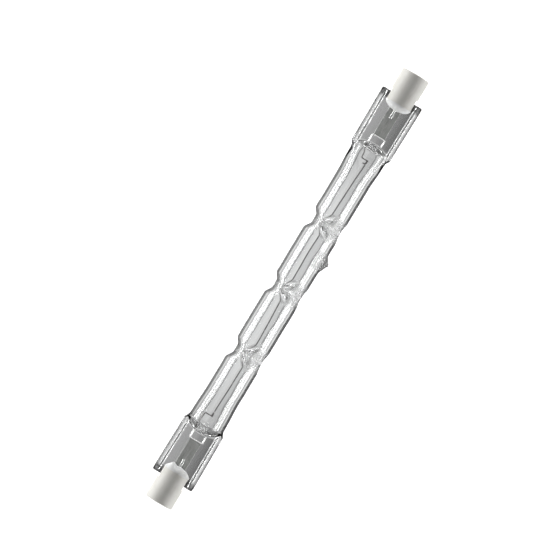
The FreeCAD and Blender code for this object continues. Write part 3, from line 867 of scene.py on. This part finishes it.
def quartz_material(sizes):
    """Clear quartz with drawing waves, crumpled necks and dull smears, whose colour holds painted shade
    for the camera alone; it lets shadow rays through.
    """
    material, tree, shader, output = new_material("clear_quartz")
    path = add_node(tree, "ShaderNodeLightPath").outputs
    place = object_place(tree)
    parts = parted(tree, place)
    crumpled = crumpled_mask(tree, sizes, parts)
    colour = opaque(sizes.colour)
    # Painted shade: camera rays see the quartz's tint darkened by the painted greys, other rays see the
    # plain tint.
    seen = mix_colour(tree, 1.0, painted_quartz_shade(tree, parts, crumpled), colour, "MULTIPLY")
    rough = maths(tree, "MINIMUM", times(tree, crumpled, 2.5), 1.6)
    smear = spread(tree, noise(tree, place, 260.0, 4.0), 0.62, 0.78, 0.0, 0.03)
    stretched = vector_maths(tree, "MULTIPLY", place, (0.12, 1.0, 1.0))
    waves = noise(tree, stretched, 420.0, 2.0, 0.4)
    grain = times(tree, noise(tree, place, 2400.0, 2.0), times(tree, rough, 9.5))
    dress(
        tree, shader, mix_colour(tree, path["Is Camera Ray"], colour, seen),
        maths(tree, "MAXIMUM", smear, times(tree, rough, 0.08)),
        maths(tree, "ADD", waves, grain), 0.35, 0.05 * MM, Transmission_Weight=1.0, IOR=1.458,
    )
    clear = add_node(tree, "ShaderNodeBsdfTransparent", {"Color": (0.93, 0.93, 0.93, 1.0)})
    mixed = mix_shader(tree, path["Is Shadow Ray"], shader, clear)
    tree.links.new(mixed.outputs[0], output.inputs["Surface"])
    return material


def metal_material(name, colour, roughness, scale=1.0, bump_distance=0.004 * MM, painted_reflection_past=None):
    """Drawn metal; past a place along the bulb it is painted bright, a painted reflection for the light
    that the thin air gap round the wire in a seal mirrors.
    """
    material, tree, shader, _ = new_material(name)
    surface = place_group(tree, drawn_metal_group, "Drawn metal", Scale=scale)
    tone = mix_colour(tree, surface["Tone"], opaque(colour, 0.75), opaque(colour, 1.25))
    # Painted reflection: past the place, the metal is painted bright.
    if painted_reflection_past:
        along = size_of(tree, parted(tree, object_place(tree))["X"])
        bright = mix_colour(tree, surface["Tone"], (0.7, 0.7, 0.69, 1.0), (0.95, 0.95, 0.94, 1.0))
        tone = mix_colour(tree, spread(tree, along, painted_reflection_past, painted_reflection_past + 0.3 * MM), tone, bright)
    dull = spread(tree, surface["Dull"], 0.0, 1.0, roughness * 0.8, roughness * 1.25)
    dress(tree, shader, tone, dull, surface["Height"], 0.6, bump_distance, Metallic=1.0)
    return material


def fired_material(name, colour, roughness, grain, pits, bump_distance, stain_share):
    material, tree, shader, _ = new_material(name)
    surface = place_group(tree, fired_surface_group, "Fired surface", Grain=grain, Pits=pits)
    stained = opaque([part * share for part, share in zip(colour, (0.86, 0.85, 0.82))])
    tone = mix_colour(tree, times(tree, surface["Stain"], stain_share), opaque(colour), stained)
    tone = mix_colour(tree, times(tree, surface["Speck"], 0.3), tone, opaque(colour, 0.6))
    rough = spread(tree, surface["Stain"], 0.0, 1.0, roughness, roughness * 0.85)
    dress(tree, shader, tone, rough, surface["Height"], 0.5, bump_distance, Specular_IOR_Level=0.35)
    return material


# Operators: one for each group of like pieces.


# An inner lead's hairpin on the foil: half its width and the radius of its bends, in millimetres.
HAIRPIN_HALF, HAIRPIN_BEND = 1.67, 0.35

# Half width of a cutting box that reaches right across the bulb, in millimetres.
RIGHT_ACROSS = 6


def straight(start, end):
    """A path along the bulb's axis."""
    return [(start, 0.0), ((start + end) / 2, 0.0), (end, 0.0)]


def wire_channels(wires):
    """Thin gaps around the wires in the seals, as closed skins that face inwards."""
    half, cross = HAIRPIN_HALF, wires.foil_start / MM
    hairpin = [(39.9, -half), (cross, -half), (cross, half), (39.45, half)]
    lead_start, lead_end = wires.foil_end / MM - 3.95, SEAL_END - 0.2
    lead = [(lead_start, 0.0), ((lead_start + SEAL_END) / 2, 0.0), (lead_end, 0.0)]
    channels = []
    for end, sign in ENDS.items():
        for route, radius, bend in ((hairpin, 0.23, HAIRPIN_BEND), (lead, 0.4, 0.1)):
            channel = grown(
                f"channel_{end}", [(sign * x, y) for x, y in route], wire(), None,
                wire_radius=radius * MM, bend_radius=bend * MM,
            )
            channel.data.flip_normals()
            channels.append(channel)
    return channels


class BULB_OT_quartz(bpy.types.Operator):
    """Build the quartz envelope with its necks, seals and exhaust tip"""

    bl_idname = "bulb.quartz"
    bl_label = "Quartz envelope"

    def execute(self, context):
        sizes = context.scene.bulb_quartz
        skin = new_object("quartz_skin", quartz_mesh(sizes))
        channels = wire_channels(context.scene.bulb_wires)
        piece = joined("quartz_envelope_blown", [skin, *channels])
        shade_smooth(piece.data, math.radians(50))
        finish_piece(piece, "quartz_envelope", quartz_material(sizes))
        return {"FINISHED"}


# The filament's line in millimetres along and across the bulb.
FILAMENT_LINE = (
    (-33.6, -0.26), (-28.5, -0.4), (-21.8, -0.52), (-14.7, -0.54), (-9.6, -0.38), (-5.3, -0.17),
    (-0.6, -0.04), (3.65, 0.05), (10.0, 0.18), (14.7, 0.05), (19.4, 0.0), (24.2, -0.16),
    (29.5, -0.36), (34.3, -0.59),
)


def eased(points, per_stretch=10):
    """A smooth line through points, by a cubic between each pair."""
    points = [Vector(point) for point in points]
    line = []
    for index in range(len(points) - 1):
        before, start = points[max(index - 1, 0)], points[index]
        end, after = points[index + 1], points[min(index + 2, len(points) - 1)]
        for count in range(per_stretch):
            share = count / per_stretch
            line.append(
                0.5 * (
                    2 * start + (end - before) * share
                    + (2 * before - 5 * start + 4 * end - after) * share**2
                    + (3 * start - before - 3 * end + after) * share**3
                )
            )
    return [*line, points[-1]]


class BULB_OT_filament(bpy.types.Operator):
    """Wind the tungsten filament"""

    bl_idname = "bulb.filament"
    bl_label = "Filament"

    def execute(self, context):
        sizes = context.scene.bulb_wires
        material = metal_material("tungsten_filament", sizes.tungsten, 0.42, 2.0, 0.002 * MM)
        piece = grown(
            "tungsten_filament_coil", eased(FILAMENT_LINE), coil(), material,
            coil_radius=sizes.coil_radius, wire_radius=sizes.coil_wire, pitch=sizes.coil_pitch,
            points_per_turn=12,
        )
        finish_piece(piece, "tungsten_filament", material)
        return {"FINISHED"}


# For each end: the wire's step towards the filament, its place across the bulb before the step
# and after it, and how far the hook rises.
INNER_LEADS = {"left": (34.9, 1.5, -0.26, 0.0), "right": (35.35, 1.0, -0.59, 0.8)}


class BULB_OT_inner_leads(bpy.types.Operator):
    """Bend the two inner leads and wind the sleeves that hold the filament"""

    bl_idname = "bulb.inner_leads"
    bl_label = "Inner leads"

    def execute(self, context):
        sizes = context.scene.bulb_wires
        colour = [part * 1.2 for part in sizes.tungsten]
        # Painted reflection: past 39.3 mm, inside the seal, the lead is painted bright.
        material = metal_material("inner_lead_wire", colour, 0.38, painted_reflection_past=39.3 * MM)
        half, cross = HAIRPIN_HALF, sizes.foil_start / MM
        for end, sign in ENDS.items():
            step, entry, level, rise = INNER_LEADS[end]
            route = [
                (cross - 1.9, -half), (cross, -half), (cross, half), (38.2, half - 0.1),
                (36.6, entry + 0.1), (step, entry), (step, level), (step - 0.95, level),
                (step - 1.0, level + rise),
            ]
            lead = grown(
                f"inner_lead_{end}_wire", [(sign * x, y) for x, y in route], wire(), material,
                wire_radius=sizes.inner_radius, bend_radius=HAIRPIN_BEND * MM,
            )
            held = [(sign * (step + 0.15), level), (sign * (step - 0.75), level)]
            sleeve = grown(
                f"sleeve_{end}", held, coil(), material,
                coil_radius=0.2 * MM, wire_radius=0.07 * MM, pitch=0.16 * MM, points_per_turn=16,
            )
            piece = joined(f"inner_lead_{end}_bent", [lead, sleeve])
            finish_piece(piece, f"inner_lead_{end}", material)
        return {"FINISHED"}


def foil_mesh(name, sizes, sign):
    """Rolled foil with feathered edges and slight ripples from pinching."""
    columns, rows = 25, 80
    half_width = sizes.foil_width / MM / 2
    half_thickness, feather, level = 0.014, 0.5, -0.185
    across = np.linspace(-1, 1, columns)
    edge = half_thickness * np.clip((1 - np.abs(across)) * half_width / feather, 0.04, 1)
    rings = []
    for x in np.linspace(sizes.foil_start / MM, sizes.foil_end / MM, rows):
        ripple = 0.012 * np.sin(x * 5.1 + across * 1.7) + 0.008 * np.sin(x * 2.3 - across * 4)
        y = across * half_width * (1 + 0.004 * math.sin(x * 3.1))
        along = np.full(columns, sign * x)
        upper, lower = (np.stack((along, y, level + ripple + side * edge), 1) for side in (1, -1))
        rings.append(np.concatenate((upper[::-1], lower)))
    mesh = mesh_from(name, np.concatenate(rings), closed_rings(rows, 2 * columns, sign > 0))
    mesh.shade_smooth()
    return mesh


class BULB_OT_foils(bpy.types.Operator):
    """Lay the molybdenum foils in the seals"""

    bl_idname = "bulb.foils"
    bl_label = "Foils"

    def execute(self, context):
        sizes = context.scene.bulb_wires
        material = metal_material("molybdenum_foil", sizes.molybdenum, 0.4, 0.6)
        for end, sign in ENDS.items():
            name = f"molybdenum_foil_{end}_rolled"
            piece = new_object(name, foil_mesh(name, sizes, sign))
            finish_piece(piece, f"molybdenum_foil_{end}", material)
        return {"FINISHED"}


class BULB_OT_outer_leads(bpy.types.Operator):
    """Lay the outer leads from the foils to the contacts"""

    bl_idname = "bulb.outer_leads"
    bl_label = "Outer leads"

    def execute(self, context):
        sizes = context.scene.bulb_wires
        material = metal_material("outer_lead_wire", sizes.molybdenum, 0.35)
        for end in ENDS:
            low, high = sorted(corner.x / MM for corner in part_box(f"outer_lead_{end}"))
            piece = grown(
                f"outer_lead_{end}_wire", straight(low, high), wire(), material,
                wire_radius=sizes.outer_radius, bend_radius=0.1 * MM,
            )
            finish_piece(piece, f"outer_lead_{end}", material)
        return {"FINISHED"}


def rounded_corner(corner, radius, before, after, count=4):
    """Points of a round corner in a profile of (x, radius)."""
    corner, before, after = Vector(corner), Vector(before), Vector(after)
    start = corner + (before - corner).normalized() * radius
    end = corner + (after - corner).normalized() * radius
    shares = [number / count for number in range(count + 1)]
    return [tuple((1 - t) ** 2 * start + 2 * t * (1 - t) * corner + t**2 * end) for t in shares]


class BULB_OT_caps(bpy.types.Operator):
    """Turn the ceramic caps with their slots and contact recesses"""

    bl_idname = "bulb.caps"
    bl_label = "Ceramic caps"

    def execute(self, context):
        sizes = context.scene.bulb_caps
        material = fired_material("white_ceramic", sizes.ceramic, 0.5, 11000.0, 2600.0, 0.012 * MM, 0.5)
        start, end, contact = sizes.start / MM, sizes.end / MM, sizes.contact / MM
        radius, recess = sizes.radius / MM, sizes.recess_radius / MM
        seat, seat_depth, wire_hole = sizes.button_radius / MM + 0.02, 0.7, 0.45
        outline = [
            (start, wire_hole), (start, radius), (end, radius), (end, recess), (contact, recess),
            (contact, seat), (contact - seat_depth, seat), (contact - seat_depth, wire_hole),
        ]
        profile = [outline[0]]
        for index, rounding, count in ((1, 0.15, 4), (2, 0.35, 6), (3, 0.2, 4)):
            before, corner, after = outline[index - 1:index + 2]
            profile += rounded_corner(corner, rounding, before, after, count)
        profile += outline[4:]
        for side, sign in ENDS.items():
            name = f"ceramic_cap_{side}_fired"
            piece = new_object(name, turned_mesh(name, profile, 96, sign))
            slot_start, slot_end = sign * (start - 2), sign * sizes.slot_end / MM
            slot = box_mesh(slot_start, slot_end, RIGHT_ACROSS, sizes.slot_half / MM)
            piece = combined(piece, slot, "DIFFERENCE")
            shade_smooth(piece.data)
            finish_piece(piece, f"ceramic_cap_{side}", material)
        return {"FINISHED"}


# Lobes of each end's cement on the seal: place across the bulb and half width in millimetres, and
# by what share of the nose they reach further.
CEMENT_LOBES = {"left": ((1.9, 0.8, 0.5), (-1.2, 1.1, 0.08)), "right": ((-0.6, 1.6, 0.06),)}


def smear(mesh, start, lobes):
    """Lengthens a cement nose where its lobes are."""
    for vert in mesh.vertices:
        along, across = abs(vert.co.x) / MM, vert.co.y / MM
        if along < start:
            reach = sum(
                share * math.exp(-(((across - place) / width) ** 2)) for place, width, share in lobes
            )
            reach += 0.03 * math.sin(across * 5.3 + 2 * math.sin(across * 2.1))
            vert.co.x = math.copysign((start - (start - along) * (1 + reach)) * MM, vert.co.x)


class BULB_OT_cement(bpy.types.Operator):
    """Fill the caps' slots with cement and shape its noses on the seals"""

    bl_idname = "bulb.cement"
    bl_label = "Cement"

    def execute(self, context):
        sizes = context.scene.bulb_caps
        material = fired_material("white_cement", sizes.cement, 0.7, 6000.0, 1800.0, 0.03 * MM, 0.8)
        start, nose, radius = sizes.start / MM, sizes.nose / MM, sizes.radius / MM - 0.03
        web_half, fill_half, overlap, bluntness = 1.075, 3.1, 0.02, 1.75
        profile = [(start - nose, 0.0)]
        for share in np.linspace(0.15, 1.0, 14):
            profile.append((start - nose * (1 - share**bluntness) ** (1 / bluntness), radius * share))
        profile += [(start + overlap, radius), (start + overlap, 0.0)]
        for end, sign in ENDS.items():
            name = f"cap_cement_{end}_dried"
            piece = new_object(name, turned_mesh(name, profile, 120, sign))
            smear(piece.data, start, CEMENT_LOBES[end])
            slot_end, slot_half = sign * sizes.slot_end / MM, sizes.slot_half / MM
            fill = box_mesh(sign * start, slot_end, fill_half, slot_half)
            piece = combined(piece, fill, "UNION")
            web = box_mesh(sign * (start - nose - 1), sign * SEAL_END, RIGHT_ACROSS, web_half)
            piece = combined(piece, web, "DIFFERENCE")
            shade_smooth(piece.data, math.radians(50))
            finish_piece(piece, f"cap_cement_{end}", material)
        return {"FINISHED"}


class BULB_OT_contacts(bpy.types.Operator):
    """Set the contact buttons in the caps' recesses"""

    bl_idname = "bulb.contacts"
    bl_label = "Contacts"

    def execute(self, context):
        sizes = context.scene.bulb_caps
        material = metal_material("nickel_contact", sizes.nickel, 0.35, 0.8)
        face, radius, thickness, edge = sizes.contact / MM - 0.1, sizes.button_radius / MM, 0.6, 0.08
        # The last four points are a ring pressed into the button's face.
        profile = [
            (face - thickness, 0.0), (face - thickness, radius),
            (face - edge, radius), (face, radius - edge),
            (face, radius * 0.45), (face - 0.1, radius * 0.36),
            (face - 0.08, radius * 0.2), (face - 0.02, 0.0),
        ]
        for end, sign in ENDS.items():
            name = f"contact_button_{end}_pressed"
            piece = new_object(name, turned_mesh(name, profile, 64, sign))
            shade_smooth(piece.data)
            finish_piece(piece, f"contact_button_{end}", material)
        return {"FINISHED"}


# Stage: floor, soft boxes, the card seen through the glass, and the camera.


# Greys of painted shade across the floor, seen only through the glass, from 4.5 mm in front of the
# bulb's axis (0) to 4.5 mm behind it (1).
FLOOR_REACH = 4.5 * MM
TUBE_SHADE_TINTS = ((0.0, 1.0), (0.261, 1.0), (0.285, 0.82), (0.47, 0.82), (0.54, 1.0), (1.0, 1.0))
SEAL_SHADE_TINTS = (
    (0.0, 1.0), (0.05, 1.0), (0.07, 0.2), (0.34, 0.38), (0.47, 0.42),
    (0.53, 0.54), (0.72, 0.56), (0.93, 0.63), (0.95, 1.0), (1.0, 1.0),
)

# Greys of the card, from straight below (0) to twice its half width (1).
CARD_GREYS = (
    (0.0, 1.0), (0.38, 0.9), (0.42, 0.38), (0.52, 0.38), (0.57, 0.92), (0.8, 1.08), (1.0, 1.2),
)


def floor_material(sizes):
    """White floor with the bulb's shadow; what glass bends goes on to the card below, through greys of
    painted shade under the bulb.
    """
    material, tree, shader, output = new_material("white_floor")
    shader.inputs["Base Color"].default_value = (0.8, 0.8, 0.8, 1.0)
    shader.inputs["Roughness"].default_value = 0.9
    shader.inputs["Specular IOR Level"].default_value = 0.0
    shader.inputs["Emission Color"].default_value = WHITE
    shader.inputs["Emission Strength"].default_value = 0.88
    place = parted(tree, object_place(tree))
    along, across = size_of(tree, place["X"]), spread(tree, place["Y"], -FLOOR_REACH, FLOOR_REACH)
    tube, seal = (grey_ramp(tree, across, stops) for stops in (TUBE_SHADE_TINTS, SEAL_SHADE_TINTS))
    greys = mix_colour(tree, spread(tree, along, 38.5 * MM, 39.8 * MM), tube, seal)
    # Painted shade: the greys darken along the tube and towards the seals' free ends.
    for start, end, share in ((22, 38, 0.25), (50.2, 51.4, 0.6)):
        greys = mix_colour(tree, spread(tree, along, start * MM, end * MM, 0.0, share), greys, BLACK)
    clear = add_node(tree, "ShaderNodeBsdfTransparent", {"Color": greys})
    mirrored = add_node(tree, "ShaderNodeEmission", {"Strength": sizes.glossy_floor})
    path = add_node(tree, "ShaderNodeLightPath").outputs
    plain = mix_shader(tree, path["Is Glossy Ray"], shader, mirrored)
    mixed = mix_shader(tree, path["Is Transmission Ray"], plain, clear)
    tree.links.new(mixed.outputs[0], output.inputs["Surface"])
    return material


def card_world(sizes):
    """White all round; what glass bends sees a grey card straight below, white beside it, then dark."""
    world = bpy.data.worlds.new("studio")
    bpy.context.scene.world = world
    world.use_nodes = True
    tree = world.node_tree
    tree.nodes.clear()
    parts = parted(tree, add_node(tree, "ShaderNodeTexCoord").outputs["Generated"])
    down = maths(tree, "MAXIMUM", times(tree, parts["Z"], -1.0), 0.001)
    across, along = (size_of(tree, maths(tree, "DIVIDE", parts[axis], down)) for axis in "YX")
    beside = maths(tree, "DIVIDE", across, 2 * math.tan(sizes.card_angle))
    beyond = spread(tree, along, 0.5, 0.7, 0.0, 1.5)
    greys = maths(tree, "MAXIMUM", grey_ramp(tree, beside, CARD_GREYS), beyond)
    far_across = spread(tree, across, 0.9, 1.3, 0.0, 0.42)
    far_along = spread(tree, along, 2.2, 3.4, 0.0, 0.35)
    near = maths(tree, "SUBTRACT", 1.0, maths(tree, "MAXIMUM", far_across, far_along))
    below = times(tree, times(tree, greys, sizes.card_grey), near)
    above = spread(tree, parts["Z"], 0.1, 0.75, 0.45, 0.9)
    seen = mix_colour(tree, spread(tree, parts["Z"], 0.02, 0.2), below, above)
    path = add_node(tree, "ShaderNodeLightPath").outputs
    more_mirrored = 0.85 - sizes.ambient
    ambient = maths(tree, "MULTIPLY_ADD", path["Is Glossy Ray"], more_mirrored, sizes.ambient)
    room, sky, card = (
        add_node(tree, "ShaderNodeBackground", {"Color": WHITE, "Strength": strength})
        for strength in (ambient, 1.0, seen)
    )
    plain = mix_shader(tree, path["Is Camera Ray"], room, sky)
    mixed = mix_shader(tree, path["Is Transmission Ray"], plain, card)
    add_node(tree, "ShaderNodeOutputWorld", {"Surface": mixed.outputs[0]})


# Each soft box: its place and its size in metres, and its share of the main one's power.
SOFT_BOXES = {
    "soft_box_back": ((0.0, 0.49, 0.08), (0.6, 0.1), 1.0),
    "soft_box_front": ((0.0, -0.49, 0.08), (0.6, 0.1), 0.65),
    "soft_box_left": ((-0.49, 0.0, 0.1), (0.2, 0.1), 0.25),
    "soft_box_right": ((0.49, 0.0, 0.1), (0.2, 0.1), 0.25),
}


def soft_box(name, place, size, power):
    light = bpy.data.lights.new(name, "AREA")
    light.shape, (light.size, light.size_y), light.energy = "RECTANGLE", size, power
    box = new_object(name, light)
    box.location = place
    box.rotation_euler = (-Vector(place)).to_track_quat("-Z", "Y").to_euler()
    return box


class BULB_OT_stage(bpy.types.Operator):
    """Lay the floor, hang the soft boxes and set the camera"""

    bl_idname = "bulb.stage"
    bl_label = "Stage"

    def execute(self, context):
        sizes, scene = context.scene.bulb_stage, context.scene
        scene.view_settings.view_transform = "Standard"
        sheet = bmesh.new()
        bmesh.ops.create_grid(sheet, x_segments=1, y_segments=1, size=2.0)
        floor = new_object("floor", sheet_mesh("floor", sheet, Matrix.Translation((0, 0, -0.02 * MM))))
        floor.data.materials.append(floor_material(sizes))
        card_world(sizes)
        boxes = [
            soft_box(name, place, size, sizes.soft_box_power * share)
            for name, (place, size, share) in SOFT_BOXES.items()
        ]
        data = bpy.data.cameras.new("camera")
        data.lens = sizes.lens
        data.clip_start, data.clip_end = 0.01, 20.0
        camera = new_object("camera", data)
        distance = sizes.picture_width * data.lens / data.sensor_width
        camera.location = (*sizes.aim, AXIS_HEIGHT + distance)
        camera.rotation_euler = Euler((0.0, 0.0, -sizes.turn))
        scene.camera = camera
        return {"FINISHED"}


BUILDERS = (
    BULB_OT_quartz, BULB_OT_filament, BULB_OT_inner_leads, BULB_OT_foils, BULB_OT_outer_leads,
    BULB_OT_caps, BULB_OT_cement, BULB_OT_contacts, BULB_OT_stage,
)
GROUPS = {
    "bulb_quartz": BulbQuartz, "bulb_wires": BulbWires, "bulb_caps": BulbCaps, "bulb_stage": BulbStage,
}


class BULB_PT_panel(bpy.types.Panel):
    """Sizes and builders of the bulb"""

    bl_idname = "BULB_PT_panel"
    bl_label = "Linear halogen bulb"
    bl_space_type = "VIEW_3D"
    bl_region_type = "UI"
    bl_category = "Bulb"

    def draw(self, context):
        for builder in BUILDERS:
            self.layout.operator(builder.bl_idname)
        for attribute, group in GROUPS.items():
            box = self.layout.box()
            for name in group.__annotations__:
                box.prop(getattr(context.scene, attribute), name)


def register():
    for group in GROUPS.values():
        bpy.utils.register_class(group)
    for attribute, group in GROUPS.items():
        setattr(bpy.types.Scene, attribute, bpy.props.PointerProperty(type=group))
    for builder in BUILDERS:
        bpy.utils.register_class(builder)
    bpy.utils.register_class(BULB_PT_panel)


def unregister():
    bpy.utils.unregister_class(BULB_PT_panel)
    for builder in reversed(BUILDERS):
        bpy.utils.unregister_class(builder)
    for attribute in GROUPS:
        delattr(bpy.types.Scene, attribute)
    for group in reversed(GROUPS.values()):
        bpy.utils.unregister_class(group)


def main():
    register()
    bpy.ops.bulb.quartz()
    bpy.ops.bulb.filament()
    bpy.ops.bulb.inner_leads()
    bpy.ops.bulb.foils()
    bpy.ops.bulb.outer_leads()
    bpy.ops.bulb.caps()
    bpy.ops.bulb.cement()
    bpy.ops.bulb.contacts()
    bpy.ops.bulb.stage()


if __name__ == "__main__":
    main()
